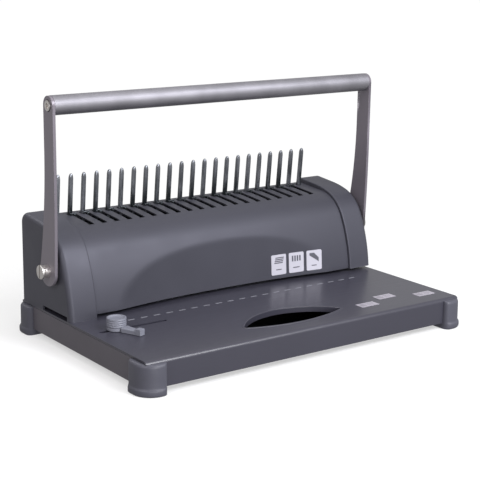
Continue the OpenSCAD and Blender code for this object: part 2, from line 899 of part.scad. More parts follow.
// One leaning square finger with a bevelled tip
module finger(i) {
    long = (finger_top_z - plate_z[0]) / cos(finger_lean);
    bevel = 25;
    intersection() {
        translate([finger_x(i), finger_y, plate_z[0]])
            rotate([finger_lean, 0, 0])
                difference() {
                    translate([-finger_w / 2, -finger_w / 2, -5])
                        cube([finger_w, finger_w, long + 5]);
                    for (turn = [0:90:270])
                        rotate([0, 0, turn])
                            translate([finger_w / 2, 0, long])
                                rotate([0, -bevel, 0])
                                    translate([0, -finger_w, -3])
                                        cube([finger_w, 2 * finger_w, 12]);
                }
        translate([finger_x(i) - finger_w, finger_y - 15, plate_z[0]])
            cube([2 * finger_w, 30, 80]);
    }
}

module comb_fingers() {
    color([0.42, 0.45, 0.50])
        for (i = [0:finger_count - 1])
            finger(i);
}

module finger_plate() {
    color([0.55, 0.56, 0.58])
        difference() {
            block([-frame_x, frame_x], plate_y, plate_z);
            for (i = [1:finger_count - 2])
                block([finger_x(i) + hook_shift - slot_w / 2, finger_x(i) + hook_shift + slot_w / 2],
                      [slot_y - slot_len, slot_y], [plate_z[0] - eps, plate_z[1] + eps]);
            for (i = [0:finger_count - 1])
                finger(i);
        }
}

/* ---------- housing ---------- */

module centre_shell() {
    outer = cap_raise;
    inner = cap_raise + wall_t;
    hole_y = [hook_y + 2.5, slot_y];
    hole_w = 4.6;
    cut_z = [plate_z[0] - 0.3, 2 * plate_z[1]];
    color([0.30, 0.30, 0.33])
        difference() {
            along_x(-shell_x, shell_x) housing_section(shell_profile, outer);
            relief(0);
            difference() {
                along_x(-shell_x - eps, shell_x + eps) housing_section(shell_profile, inner);
                relief(wall_t);
            }
            block([-half_w, half_w], [0, rear_y], [table_z - eps, table_z + throat_h]);
            block([-half_w, half_w], [rear_y / 2, rear_y + eps], [table_z - eps, seam_z]);
            for (i = [1:finger_count - 2])
                block([finger_x(i) + hook_shift - slot_w / 2, finger_x(i) + hook_shift + slot_w / 2],
                      [slot_y - slot_len, slot_y], cut_z);
            for (i = [0:finger_count - 1])
                block([finger_x(i) - hole_w / 2, finger_x(i) + hook_shift - slot_w / 2 + 0.1], hole_y, cut_z);
        }
}

// Screws of the rear cover, [head radius, head height, shank radius, shank length]
cover_screw_x = [-130, 130];
cover_screw_z = [42, 78];
cover_screw = [3.6, 2, 1.8, 8];

module rear_cover() {
    y1 = rear_y - cap_raise;
    vent = [4, 16];
    vent_z = [52, 55];
    color([0.30, 0.30, 0.33])
        difference() {
            block([-shell_x, shell_x], [y1 - wall_t, y1], [table_z, seam_z - 0.4]);
            for (x = cover_screw_x, z = cover_screw_z)
                translate([x, y1 + eps, z])
                    rotate([90, 0, 0])
                        cylinder(h = wall_t + 2 * eps, r = cover_screw[2]);
            for (k = [-5:5])
                block([k * vent[1] - vent[0], k * vent[1] + vent[0]], [y1 - wall_t - eps, y1 + eps], vent_z);
        }
}

module rear_screws() {
    y1 = rear_y - cap_raise;
    cross = [2.6, 0.5, 0.8];
    color("silver")
        for (x = cover_screw_x, z = cover_screw_z)
            translate([x, y1, z])
                rotate([-90, 0, 0])
                    difference() {
                        union() {
                            cylinder(h = cover_screw[1], r = cover_screw[0]);
                            translate([0, 0, -cover_screw[3]])
                                cylinder(h = cover_screw[3], r = cover_screw[2]);
                        }
                        for (turn = [0, 90])
                            rotate([0, 0, turn])
                                translate([-cross[0], -cross[1], cover_screw[1] - cross[2]])
                                    cube([2 * cross[0], 2 * cross[1], cross[2] + eps]);
                    }
}

// End cap: a raised band with a rounded outer edge and a rim that closes onto the shell.
// The right one stands clear of the table, so that wide paper can stick out.
module end_cap(side) {
    edge_turns = [0, 22.5, 45, 67.5, 90];
    rim_w = 2;
    color([0.31, 0.31, 0.34])
        mirror([side < 0 ? 1 : 0, 0, 0])
            difference() {
                hull()
                    for (turn = edge_turns)
                        along_x(cap_in_x, half_w - cap_edge * (1 - sin(turn)))
                            housing_section(cap_profile, cap_edge * (1 - cos(turn)));
                hull() {
                    along_x(cap_in_x + rim_w, half_w - cap_edge) cap_cavity(cap_profile, wall_t);
                    along_x(half_w - cap_edge, half_w - wall_t) cap_cavity(cap_profile, cap_edge);
                }
                along_x(cap_in_x - eps, cap_in_x + rim_w + eps) cap_cavity(shell_profile, cap_raise - 0.1);
                if (side > 0)
                    block([cap_in_x - eps, half_w + eps], [0, notch_y[1]],
                          [table_z - eps, table_z + throat_h]);
                rod_x(half_w - 2 * wall_t, half_w + eps, pivot_y, pivot_z, shaft_r + 0.8);
                block([half_w - 2 * wall_t - cap_edge, half_w + eps], notch_y,
                      [table_z - eps, table_z + notch_h]);
            }
}

module cap_cavity(p, inset) {
    intersection() {
        polygon(outline(p, inset));
        translate([0, table_z - eps]) square([rear_y, rear_y]);
    }
}

module end_cap_left() { end_cap(-1); }
module end_cap_right() { end_cap(1); }

/* ---------- plates and marks ---------- */

// A point on the concave front, and the direction that the surface faces there
function relief_point(x, z) = relief_y - x * x / (2 * relief_r) + (z - table_z) * tan(relief_lean);

module function_plates() {
    plate = [18.2, 22];
    gap = 3.6;
    first_x = 61;
    low_z = 37.5;
    thick = 0.6;
    back_gap = 0.12;
    color([0.80, 0.80, 0.83])
        for (k = [0:2]) {
            x = first_x + (plate[0] + gap) * k + plate[0] / 2;
            translate([x, relief_point(x, low_z), low_z])
                rotate([0, 0, -x / relief_r * 180 / PI])
                    rotate([-relief_lean, 0, 0])
                        translate([-plate[0] / 2, -thick, 0])
                            cube([plate[0], thick - back_gap, plate[1]]);
        }
}

module table_marks() {
    mark_z = [table_z, table_z + 0.2];
    color([0.55, 0.56, 0.60])
        for (i = [1:finger_count - 2])
            block([finger_x(i) + 4.5, finger_x(i) + 11.5], [-4, -2.4], mark_z);
    color([0.75, 0.73, 0.76])
        for (at = [[88, -88], [121, -76], [162, -90]])
            block([at[0] - 11, at[0] + 11], [at[1] - 5.5, at[1] + 5.5], mark_z);
}

/* ---------- edge guide ---------- */

module edge_guide() {
    lever_len = 31;
    lever_turn = -72;
    color([0.55, 0.57, 0.63])
        difference() {
            union() {
                rod_z(guide_x, guide_y, guide_low, disc_z, knob_r);
                translate([guide_x, guide_y, guide_low])
                    rotate([0, 0, lever_turn]) {
                        linear_extrude(4.5)
                            polygon([[6, -5], [lever_len - 5, -2.6], [lever_len - 5, 2.6], [6, 5]]);
                        translate([lever_len - 6, -3.2, 0])
                            cube([6, 6.4, 6]);
                    }
            }
            rod_z(guide_x, guide_y, disc_z, knob_z[0] + knob_h, knob_r + 0.2);
            rod_z(guide_x, guide_y, under_z - eps, disc_z + eps, stud_r + 0.1);
        }
}

module guide_knob() {
    groove = 0.5;
    dish = [knob_r - 1.8, 1.2];
    color([0.56, 0.58, 0.65])
        difference() {
            rod_z(guide_x, guide_y, knob_z[0], knob_z[1], knob_r);
            for (z = [knob_z[0] + 2:2.2:knob_z[1] - 2])
                translate([guide_x, guide_y, z])
                    rotate_extrude()
                        translate([knob_r - groove, 0]) square([groove + eps, 0.8]);
            rod_z(guide_x, guide_y, knob_z[1] - dish[1], knob_z[1] + eps, dish[0]);
            rod_z(guide_x, guide_y, knob_z[0] - eps, stud_top_z + 0.5, stud_r + running);
        }
}

// T-shaped slider under the table, with a neck in the slot and the stud that the knob turns on
module guide_nut() {
    neck = [6, 2.2];
    color("silver")
        union() {
            block([guide_x - 9, guide_x + 9], [guide_y - 6, guide_y + 6], [under_z - 3.2, under_z - 0.2]);
            block([guide_x - neck[0], guide_x + neck[0]], [guide_y - neck[1], guide_y + neck[1]],
                  [under_z - 0.2, guide_low]);
            rod_z(guide_x, guide_y, guide_low, stud_top_z, stud_r);
        }
}

/* ---------- chip tray ---------- */

module chip_tray() {
    front_t = 3;
    color([0.33, 0.33, 0.36])
        difference() {
            union() {
                block([tray_x[0], tray_x[1]], tray_y, tray_z);
                block([tray_x[1], tray_x[1] + front_t + 1], [tray_y[0] - 0.5, tray_y[1] + 0.5], tray_z);
            }
            block([tray_x[0] + tray_t, tray_x[1] - tray_t], [tray_y[0] + tray_t, tray_y[1] - tray_t],
                  [tray_z[0] + tray_t, tray_z[1] + eps]);
            block([tray_x[1] + front_t - 1, tray_x[1] + front_t + 2], [tray_y[0] + 18, tray_y[1] - 18],
                  [tray_z[0] + 3, tray_z[1] - 3]);
        }
}

table_top();
side_skirt_left();
side_skirt_right();
rear_skirt();
bottom_plate();
foot_front_left();
foot_front_right();
foot_rear_left();
foot_rear_right();
foot_screws();
side_frame_left();
side_frame_right();
tie_rods();
frame_screws();
lower_die();
stripper_plate();
paper_stop();
guide_posts();
punch_bar();
punch_pins();
punch_springs();
handle_arm_left();
handle_arm_right();
grip_tube();
grip_screws();
pivot_bolts();
drive_shaft();
shaft_washers();
shaft_bushes();
punch_cams();
drive_sector_left();
drive_sector_right();
pinion_left();
pinion_right();
pinion_studs();
hook_carrier();
comb_hooks();
carrier_rack_left();
carrier_rack_right();
finger_plate();
comb_fingers();
centre_shell();
rear_cover();
rear_screws();
end_cap_left();
end_cap_right();
function_plates();
table_marks();
edge_guide();
guide_knob();
guide_nut();
chip_tray();
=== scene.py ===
"""Looks of the comb binding machine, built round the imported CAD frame. Metres, same frame."""

import json
import math

import bmesh
import bpy
from mathutils import Matrix, Vector


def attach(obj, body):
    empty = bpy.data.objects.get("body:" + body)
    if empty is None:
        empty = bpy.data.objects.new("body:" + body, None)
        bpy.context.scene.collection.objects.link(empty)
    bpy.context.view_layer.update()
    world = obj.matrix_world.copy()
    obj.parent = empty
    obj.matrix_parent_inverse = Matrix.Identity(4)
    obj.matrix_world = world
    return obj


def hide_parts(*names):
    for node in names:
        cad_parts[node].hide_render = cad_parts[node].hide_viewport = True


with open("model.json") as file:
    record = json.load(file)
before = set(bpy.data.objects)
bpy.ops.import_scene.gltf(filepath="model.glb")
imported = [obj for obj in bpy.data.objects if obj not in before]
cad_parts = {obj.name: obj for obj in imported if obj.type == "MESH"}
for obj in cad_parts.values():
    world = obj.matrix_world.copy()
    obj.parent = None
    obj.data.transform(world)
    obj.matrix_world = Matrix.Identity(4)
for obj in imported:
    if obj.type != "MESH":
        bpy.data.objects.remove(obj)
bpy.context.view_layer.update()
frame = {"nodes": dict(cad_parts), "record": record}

MM = 0.001
SIDES = {"left": -1, "right": 1}

# ---------------------------------------------------------------- camera, light and floor

CAMERA_AT = Vector((-0.72527, -0.99008, 0.38567))
CAMERA_AZIMUTH = -36.08
CAMERA_ELEVATION = 13.55
CAMERA_ROLL = 0.74
LENS_MM = 95.98
SENSOR_MM = 36.0


def camera_turn(azimuth, elevation, roll):
    """Rotation of a camera that looks at the object from azimuth and elevation, in degrees."""
    a, e = math.radians(azimuth), math.radians(elevation)
    back = Vector((math.sin(a) * math.cos(e), -math.cos(a) * math.cos(e), math.sin(e)))
    level = (-back).to_track_quat("-Z", "Y").to_matrix()
    return level @ Matrix.Rotation(math.radians(roll), 3, "Z")


def make_camera():
    """The camera at the photograph's viewing angle."""
    data = bpy.data.cameras.new("camera")
    data.lens = LENS_MM
    data.sensor_width = SENSOR_MM
    data.clip_start, data.clip_end = 0.05, 50.0
    camera = bpy.data.objects.new("camera", data)
    turn = camera_turn(CAMERA_AZIMUTH, CAMERA_ELEVATION, CAMERA_ROLL)
    camera.matrix_world = Matrix.Translation(CAMERA_AT) @ turn.to_4x4()
    bpy.context.collection.objects.link(camera)
    bpy.context.scene.camera = camera


def area_light(name, at, towards, size, watts, tint=(1, 1, 1)):
    """A rectangular soft box at one point, aimed at another."""
    data = bpy.data.lights.new(name, "AREA")
    data.shape = "RECTANGLE"
    data.size, data.size_y = size
    data.energy = watts
    data.color = tint
    light = bpy.data.objects.new(name, data)
    at = Vector(at)
    aim = (Vector(towards) - at).to_track_quat("-Z", "Y")
    light.matrix_world = Matrix.Translation(at) @ aim.to_matrix().to_4x4()
    bpy.context.collection.objects.link(light)


def make_world(diffuse, glossy, seen):
    """White surroundings, with a strength of their own for glossy and for camera rays."""
    world = bpy.data.worlds.new("studio")
    world.use_nodes = True
    bpy.context.scene.world = world
    nodes, links = world.node_tree.nodes, world.node_tree.links
    background = nodes["Background"]
    background.inputs["Color"].default_value = (1, 1, 1, 1)
    path = nodes.new("ShaderNodeLightPath")
    level = None
    for ray, strength in (("Is Glossy Ray", glossy), ("Is Camera Ray", seen)):
        mix = nodes.new("ShaderNodeMapRange")
        mix.inputs["To Min"].default_value = diffuse
        mix.inputs["To Max"].default_value = strength
        if level is not None:
            links.new(level, mix.inputs["To Min"])
        links.new(path.outputs[ray], mix.inputs["Value"])
        level = mix.outputs["Result"]
    links.new(level, background.inputs["Strength"])


def by_camera(nodes, links, bounced, seen):
    """A value that is seen by the camera and bounced by every other ray."""
    path = nodes.new("ShaderNodeLightPath")
    level = nodes.new("ShaderNodeMapRange")
    level.inputs["To Min"].default_value = bounced
    level.inputs["To Max"].default_value = seen
    links.new(path.outputs["Is Camera Ray"], level.inputs["Value"])
    return level.outputs["Result"]


# Least share of the glow in the floor, and its strength for other rays and for the camera
GLOW_SHARE = 0.5
GLOW_BOUNCED = 0.45
GLOW_SEEN = 1.02
FLOOR_SIZE = 40.0
FLOOR_DROP = 0.2 * MM


def floor_material(seen, bounced, near, far):
    """White paper sweep: it turns into an even white glow from near to far, in metres."""
    material = bpy.data.materials.new("floor_paper")
    material.use_nodes = True
    nodes, links = material.node_tree.nodes, material.node_tree.links
    paper = nodes["Principled BSDF"]
    paper.inputs["Roughness"].default_value = 0.8
    paper.inputs["Specular IOR Level"].default_value = 0.1
    links.new(by_camera(nodes, links, bounced, seen), paper.inputs["Base Color"])
    place = nodes.new("ShaderNodeTexCoord")
    length = nodes.new("ShaderNodeVectorMath")
    length.operation = "LENGTH"
    links.new(place.outputs["Object"], length.inputs[0])
    fade = nodes.new("ShaderNodeMapRange")
    fade.interpolation_type = "SMOOTHSTEP"
    fade.inputs["From Min"].default_value = near
    fade.inputs["From Max"].default_value = far
    fade.inputs["To Min"].default_value = GLOW_SHARE
    links.new(length.outputs["Value"], fade.inputs["Value"])
    glow = nodes.new("ShaderNodeEmission")
    links.new(by_camera(nodes, links, GLOW_BOUNCED, GLOW_SEEN), glow.inputs["Strength"])
    mix = nodes.new("ShaderNodeMixShader")
    links.new(fade.outputs["Result"], mix.inputs["Fac"])
    links.new(paper.outputs["BSDF"], mix.inputs[1])
    links.new(glow.outputs["Emission"], mix.inputs[2])
    links.new(mix.outputs["Shader"], nodes["Material Output"].inputs["Surface"])
    return material


def make_floor(material):
    """A wide plane just under the feet."""
    bpy.ops.mesh.primitive_plane_add(size=FLOOR_SIZE, location=(0, 0, -FLOOR_DROP))
    floor = bpy.context.object
    floor.name = "floor"
    floor.data.materials.append(material)


# ---------------------------------------------------------------- materials


IOR = 1.5


class Shader:
    """A principled material with a few procedural layers in object space."""

    def __init__(self, name, color, roughness, metallic=0.0, coat=0.0, coat_roughness=0.1):
        self.material = bpy.data.materials.new(name)
        self.material.use_nodes = True
        self.nodes = self.material.node_tree.nodes
        self.links = self.material.node_tree.links
        self.bsdf = self.nodes["Principled BSDF"]
        self.color = color
        self.roughness = roughness
        self.set("Metallic", metallic)
        self.set("IOR", IOR)
        self.set("Coat Weight", coat)
        self.set("Coat Roughness", coat_roughness)
        self.place = self.nodes.new("ShaderNodeTexCoord").outputs["Object"]
        self.bump_out = None

    def set(self, socket, value):
        self.bsdf.inputs[socket].default_value = value

    def node(self, kind, **values):
        made = self.nodes.new(kind)
        for key, value in values.items():
            made.inputs[key.replace("_", " ")].default_value = value
        return made

    def noise(self, scale, detail, stretch=(1, 1, 1), rough=0.5):
        """Noise from 0 to 1, with scale features to the metre, denser along a stretched axis."""
        mapping = self.node("ShaderNodeMapping")
        mapping.inputs["Scale"].default_value = stretch
        self.links.new(self.place, mapping.inputs["Vector"])
        noise = self.node("ShaderNodeTexNoise", Scale=scale, Detail=detail, Roughness=rough)
        self.links.new(mapping.outputs["Vector"], noise.inputs["Vector"])
        return noise.outputs["Fac"]

    def height(self, axis="Z"):
        """One coordinate of the object's own space, in metres."""
        split = self.nodes.new("ShaderNodeSeparateXYZ")
        self.links.new(self.place, split.inputs["Vector"])
        return split.outputs[axis]

    def spread(self, value, low, high, out_low, out_high):
        """The value from low to high, taken to the range from out_low to out_high."""
        remap = self.node("ShaderNodeMapRange", From_Min=low, From_Max=high,
                          To_Min=out_low, To_Max=out_high)
        self.links.new(value, remap.inputs["Value"])
        return remap.outputs["Result"]

    def vary_color(self, mask, other):
        """Goes from the base colour to other as mask goes from 0 to 1."""
        mix = self.nodes.new("ShaderNodeMix")
        mix.data_type = "RGBA"
        self.links.new(mask, mix.inputs["Factor"])
        if isinstance(self.color, tuple):
            mix.inputs["A"].default_value = (*self.color, 1)
        else:
            self.links.new(self.color, mix.inputs["A"])
        mix.inputs["B"].default_value = (*other, 1)
        self.color = mix.outputs["Result"]

    def vary_roughness(self, value):
        self.roughness = value

    def bump(self, height, distance, strength=1.0):
        """Adds a bump, distance metres high, on top of the bumps made before it."""
        bump = self.node("ShaderNodeBump", Strength=strength, Distance=distance)
        self.links.new(height, bump.inputs["Height"])
        if self.bump_out is not None:
            self.links.new(self.bump_out, bump.inputs["Normal"])
        self.bump_out = bump.outputs["Normal"]

    def done(self):
        """Wires the colour, roughness and bump into the material."""
        for socket, value in (("Base Color", self.color), ("Roughness", self.roughness)):
            if isinstance(value, tuple):
                self.set(socket, (*value, 1))
            elif isinstance(value, float):
                self.set(socket, value)
            else:
                self.links.new(value, self.bsdf.inputs[socket])
        if self.bump_out is not None:
            self.links.new(self.bump_out, self.bsdf.inputs["Normal"])
        return self.material


def scaled(color, by):
    return tuple(min(1.0, c * by) for c in color)


def moulded(name, color, roughness, grain=0.012, specular=0.35, sheen=(1, 1, 1)):
    """Moulded plastic: a fine spark-eroded grain, cloudy gloss and faint scuffs."""
    s = Shader(name, color, roughness)
    s.set("Specular IOR Level", specular)
    s.set("Specular Tint", (*sheen, 1))
    cloud = s.noise(9.0, 4.0)
    s.vary_color(s.spread(cloud, 0.35, 0.7, 0.0, 1.0), scaled(color, 1.12))
    scuff = s.noise(60.0, 6.0, stretch=(1, 3, 6), rough=0.7)
    s.vary_color(s.spread(scuff, 0.64, 0.82, 0.0, 0.3), scaled(color, 1.45))
    gloss = s.noise(30.0, 5.0)
    s.vary_roughness(s.spread(gloss, 0.3, 0.75, roughness - 0.04, roughness + 0.07))
    s.bump(s.noise(2600.0, 2.0), grain * MM)
    s.bump(s.noise(45.0, 3.0), 0.04 * MM, 0.5)
    return s.done()


def enamel(name, color, roughness, peel=0.006, metallic=0.0, coat=0.5, coat_roughness=0.1):
    """Baked enamel on sheet steel: orange peel under a gloss, with fine dust and wipe marks."""
    s = Shader(name, color, roughness, metallic=metallic, coat=coat, coat_roughness=coat_roughness)
    cloud = s.noise(7.0, 5.0)
    s.vary_color(s.spread(cloud, 0.3, 0.75, 0.0, 1.0), scaled(color, 1.12))
    dust = s.noise(1800.0, 2.0)
    s.vary_color(s.spread(dust, 0.7, 0.85, 0.0, 0.2), scaled(color, 1.6))
    wipe = s.noise(35.0, 6.0, stretch=(1, 7, 1), rough=0.65)
    s.vary_roughness(s.spread(wipe, 0.3, 0.8, roughness - 0.02, roughness + 0.03))
    s.bump(s.noise(260.0, 2.0), peel * MM, 0.2)
    return s.done()


def plated(name, color, roughness, stretch=(1, 1, 1), streak=0.12, tint=(1, 1, 1)):
    """Plated or ground steel: directional streaks, a cloudy passivation tint and tiny pits."""
    s = Shader(name, color, roughness, metallic=1.0)
    cloud = s.noise(40.0, 4.0)
    darker = tuple(c * t * 0.82 for c, t in zip(color, tint))
    s.vary_color(s.spread(cloud, 0.35, 0.7, 0.0, 1.0), darker)
    lines = s.noise(900.0, 3.0, stretch=stretch, rough=0.6)
    s.vary_roughness(s.spread(lines, 0.25, 0.8, roughness - streak / 2, roughness + streak))
    s.bump(lines, 0.012 * MM, 0.5)
    return s.done()


def finger_plating(name, dark, light, low_z, high_z):
    """Dark plated fingers: greenish black at the base, with painted reflections: lighter towards
    the bevelled tips and in streaks along them.
    """
    s = Shader(name, dark, 0.3, metallic=0.85)
    # painted reflection: lighter streaks running up the fingers
    painted_reflection_streaks = s.noise(160.0, 4.0, stretch=(1, 1, 0.25))
    s.vary_color(s.spread(painted_reflection_streaks, 0.45, 0.62, 0.0, 0.75), light)
    # painted reflection: lighter towards the tips, darker at the base
    s.vary_color(s.spread(s.height(), low_z, high_z, 0.0, 0.8), light)
    gloss = s.noise(420.0, 4.0, stretch=(1, 1, 0.2))
    s.vary_roughness(s.spread(gloss, 0.3, 0.7, 0.2, 0.42))
    rub = s.noise(900.0, 3.0, stretch=(1, 1, 0.15))
    s.bump(rub, 0.02 * MM, 0.6)
    return s.done()


def printed(name, front, rear, split_y):
    """Screen-printed ink: one tone in front of split_y and another behind it, thinly speckled."""
    s = Shader(name, rear, 0.45)
    s.vary_color(s.spread(s.height("Y"), split_y, split_y - 0.5 * MM, 0.0, 1.0), front)
    speckle = s.noise(1500.0, 3.0)
    s.vary_color(s.spread(speckle, 0.62, 0.75, 0.0, 0.35), scaled(front, 0.7))
    gloss = s.noise(300.0, 3.0)
    s.vary_roughness(s.spread(gloss, 0.3, 0.7, 0.38, 0.55))
    s.bump(s.noise(1500.0, 2.0), 0.006 * MM)
    return s.done()


# Looks of every material slot in the record, with linear colours
MATERIALS = {
    "housing": moulded("housing_plastic", (0.041, 0.041, 0.052), 0.47, specular=0.5,
                       sheen=(0.86, 0.86, 1.0)),
    "table": enamel("table_enamel", (0.036, 0.035, 0.049), 0.35, peel=0.003, coat=0.24,
                    coat_roughness=0.2),
    "skirt": moulded("skirt_plastic", (0.088, 0.081, 0.095), 0.42),
    # Near-black enamel: painted shade on the bottom plate seen through the hand hole
    "base_steel": enamel("base_enamel", (0.010, 0.010, 0.011), 0.6, coat=0.0),
    "foot": moulded("foot_plastic", (0.068, 0.068, 0.087), 0.46, grain=0.02),
    "bright_steel": plated("bright_plating", (0.72, 0.69, 0.67), 0.34, streak=0.08),
    "plated_steel": plated("zinc_sheet", (0.50, 0.52, 0.55), 0.34, stretch=(1, 12, 12)),
    "tool_steel": plated("ground_steel", (0.42, 0.43, 0.45), 0.3, stretch=(1, 10, 1)),
    "spring_steel": plated("spring_wire", (0.5, 0.5, 0.52), 0.3),
    "arm": enamel("arm_lacquer", (0.18, 0.162, 0.19), 0.36, metallic=0.3, coat=0.15),
    "grip": plated("anodised_tube", (0.305, 0.297, 0.326), 0.56, stretch=(0.02, 1, 1),
                   streak=0.06),
    "washer": moulded("nylon", (0.36, 0.36, 0.38), 0.45),
    "bush": plated("bronze", (0.60, 0.44, 0.22), 0.35),
    "zinc": plated("bright_zinc", (0.17, 0.185, 0.195), 0.3, tint=(0.9, 1.0, 1.08)),
    # painted reflection on the fingers, lighter from 122 mm up to 158 mm
    "finger": finger_plating("dark_plating", (0.028, 0.034, 0.038), (0.27, 0.28, 0.31),
                             122.0 * MM, 158.0 * MM),
    "plate": moulded("label_plastic", (0.47, 0.46, 0.52), 0.35, grain=0.003),
    "mark": printed("printed_mark", (0.36, 0.34, 0.385), (0.19, 0.192, 0.22), -50.0 * MM),
    "guide": moulded("guide_plastic", (0.19, 0.195, 0.235), 0.42),
    "tray": moulded("tray_plastic", (0.045, 0.045, 0.05), 0.5),
}
INK = moulded("icon_ink", (0.09, 0.09, 0.11), 0.4, grain=0.002)
PALE_INK = moulded("pale_ink", (0.24, 0.225, 0.26), 0.4, grain=0.002)
# Near-black steel: painted shade on the finger plate and hook carrier seen down the comb slots
PAINTED_SHADE_STEEL = plated("painted_shade_steel", (0.018, 0.019, 0.021), 0.42)
# Dark plating on the hooks: painted shade, so they blend with the dark slots they stand in
HOOK_PLATING = plated("hook_plating", (0.10, 0.11, 0.12), 0.24)


# CAD meshes: weld distance in mm, and the angles in degrees below which faces are one plane
# and above which an edge is crisp or rounded
WELD_MM = 0.004
FLAT_ANGLE = 0.4
CRISP_ANGLE = 38.0

# Edge rounding of the CAD nodes that have any, in mm
BEVELS = {
    "side_skirt_left": 0.5, "side_skirt_right": 0.5, "rear_skirt": 0.4,
    "handle_arm_left": 0.9, "handle_arm_right": 0.9, "rear_cover": 0.4,
    "rear_screws": 0.25, "chip_tray": 0.5,
}

# Nodes darker than the rest of their material slot: painted shade on the parts seen down the comb
# slots
DARKER = {"finger_plate": PAINTED_SHADE_STEEL, "hook_carrier": PAINTED_SHADE_STEEL}


def modifier(obj, kind, **values):
    made = obj.modifiers.new(kind.lower(), kind)
    for key, value in values.items():
        setattr(made, key, value)
    return made


def finish_cad(name, bevel):
    """Welds a CAD mesh, merges its flat triangles and rounds its edges, by modifiers only."""
    node = frame["nodes"][name]
    mesh = node.data
    if "custom_normal" in mesh.attributes:
        mesh.attributes.remove(mesh.attributes["custom_normal"])
    mesh.polygons.foreach_set("use_smooth", [True] * len(mesh.polygons))
    modifier(node, "WELD", merge_threshold=WELD_MM * MM)
    if bevel:
        modifier(node, "DECIMATE", decimate_type="DISSOLVE", angle_limit=math.radians(FLAT_ANGLE))
        modifier(node, "BEVEL", width=bevel * MM, segments=3, limit_method="ANGLE",
                 angle_limit=math.radians(CRISP_ANGLE), harden_normals=True)
    else:
        modifier(node, "EDGE_SPLIT", split_angle=math.radians(CRISP_ANGLE))


def dress_frame():
    """Gives every CAD node its slot's material, or the painted-shade steel for the nodes in DARKER,
    with welded vertices and crisp or rounded edges.
    """
    slot_of = {row["node"]: row["material_slot"] for row in frame["record"]["subparts"]}
    for name, node in frame["nodes"].items():
        node.data.materials.clear()
        node.data.materials.append(DARKER.get(name, MATERIALS[slot_of[name]]))
        finish_cad(name, BEVELS.get(name, 0))


# ---------------------------------------------------------------- pieces


def loft(bm, rings):
    """Skins closed rings of vertices, with a face on the first and on the last."""
    for low, high in zip(rings, rings[1:]):
        for k in range(len(low)):
            n = (k + 1) % len(low)
            bm.faces.new((low[k], low[n], high[n], high[k]))
    bm.faces.new(rings[0])
    bm.faces.new(rings[-1])


def box(bm, low, high, place):
    """A block between two corners, moved by place."""
    centre = Matrix.Translation([(a + b) / 2 for a, b in zip(low, high)])
    size = Matrix.Diagonal([b - a for a, b in zip(low, high)] + [1.0])
    bmesh.ops.create_cube(bm, size=1.0, matrix=place @ centre @ size)


def add_piece(name, bm, body, slot, replaced=(), smooth=True, material=None):
    """Turns a bmesh in millimetres into a piece that rides on a body, in its slot's material."""
    bmesh.ops.scale(bm, vec=(MM, MM, MM), verts=bm.verts)
    bmesh.ops.recalc_face_normals(bm, faces=bm.faces)
    mesh = bpy.data.meshes.new(name)
    bm.to_mesh(mesh)
    bm.free()
    mesh.polygons.foreach_set("use_smooth", [smooth] * len(mesh.polygons))
    obj = bpy.data.objects.new(name, mesh)
    bpy.context.collection.objects.link(obj)
    mesh.materials.append(material or MATERIALS[slot])
    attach(obj, body)
    if replaced:
        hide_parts(*replaced)
    return obj


# Millimetres and degrees from here on. A profile is its arcs, as (radius, lean at the end), from
# the table upwards, and the radius of its rear corner.
TABLE_Z = 31.0
HALF_W = 184.5
FRONT_Y = 16.3
REAR_Y = 115.0
FIRST_LEAN = 4.1
CAP_PROFILE = (((157.0, 27.0), (43.4, 73.0), (106.0, 84.3)), 10.0)
SHELL_PROFILE = (((157.0, 27.0), (43.4, 73.0), (43.0, 85.4)), 8.0)
ROOF_STEPS = 7
BACK_STEPS = 6
THROAT = 3.4

CAP_IN_X = 155.6
CAP_IN_R = 1.3
CAP_RAISE = 3.0
CAP_LAP = 0.3
CAP_EDGE = 5.0
CAP_WALL = 2.2
CAP_CRISP_ANGLE = 35.0
NOTCH_Y = (23.0, 71.0)
NOTCH_Z = 35.5


def inward(lean):
    """Direction (y, z) into the housing, square to a surface that leans back."""
    return Vector((math.cos(math.radians(lean)), -math.sin(math.radians(lean))))


def profile_line(profile, inset, steps=14, rear_steps=12):
    """Points (y, z) of a housing profile from the table at the front to the table at the rear."""
    arcs, rear_r = profile
    at = Vector((FRONT_Y, TABLE_Z))
    lean = FIRST_LEAN
    points = []
    for radius, end in arcs:
        centre = at + radius * inward(lean)
        for k in range(0 if not points else 1, steps + 1):
            points.append(centre - (radius - inset) * inward(lean + (end - lean) * k / steps))
        at, lean = centre - radius * inward(end), end
    along = Vector((math.sin(math.radians(lean)), math.cos(math.radians(lean))))
    run = (REAR_Y - rear_r - rear_r * math.cos(math.radians(lean)) - at.x) / along.x
    centre = at + run * along + rear_r * inward(lean)
    for k in range(ROOF_STEPS):
        points.append(points[-1] + along * run / ROOF_STEPS)
    for k in range(1, rear_steps + 1):
        points.append(centre - (rear_r - inset) * inward(lean + (180 - lean) * k / rear_steps))
    for k in range(1, BACK_STEPS + 1):
        points.append(Vector((REAR_Y - inset, centre.y + (TABLE_Z - centre.y) * k / BACK_STEPS)))
    points[0] += (TABLE_Z - points[0].y) / math.cos(math.radians(FIRST_LEAN)) * Vector(
        (math.sin(math.radians(FIRST_LEAN)), math.cos(math.radians(FIRST_LEAN))))
    return points


def grid_faces(bm, rows, keep=lambda i, j: True):
    """Quads between neighbouring rows of vertices."""
    for i in range(len(rows) - 1):
        for j in range(len(rows[0]) - 1):
            if keep(i, j):
                bm.faces.new((rows[i][j], rows[i + 1][j], rows[i + 1][j + 1], rows[i][j + 1]))


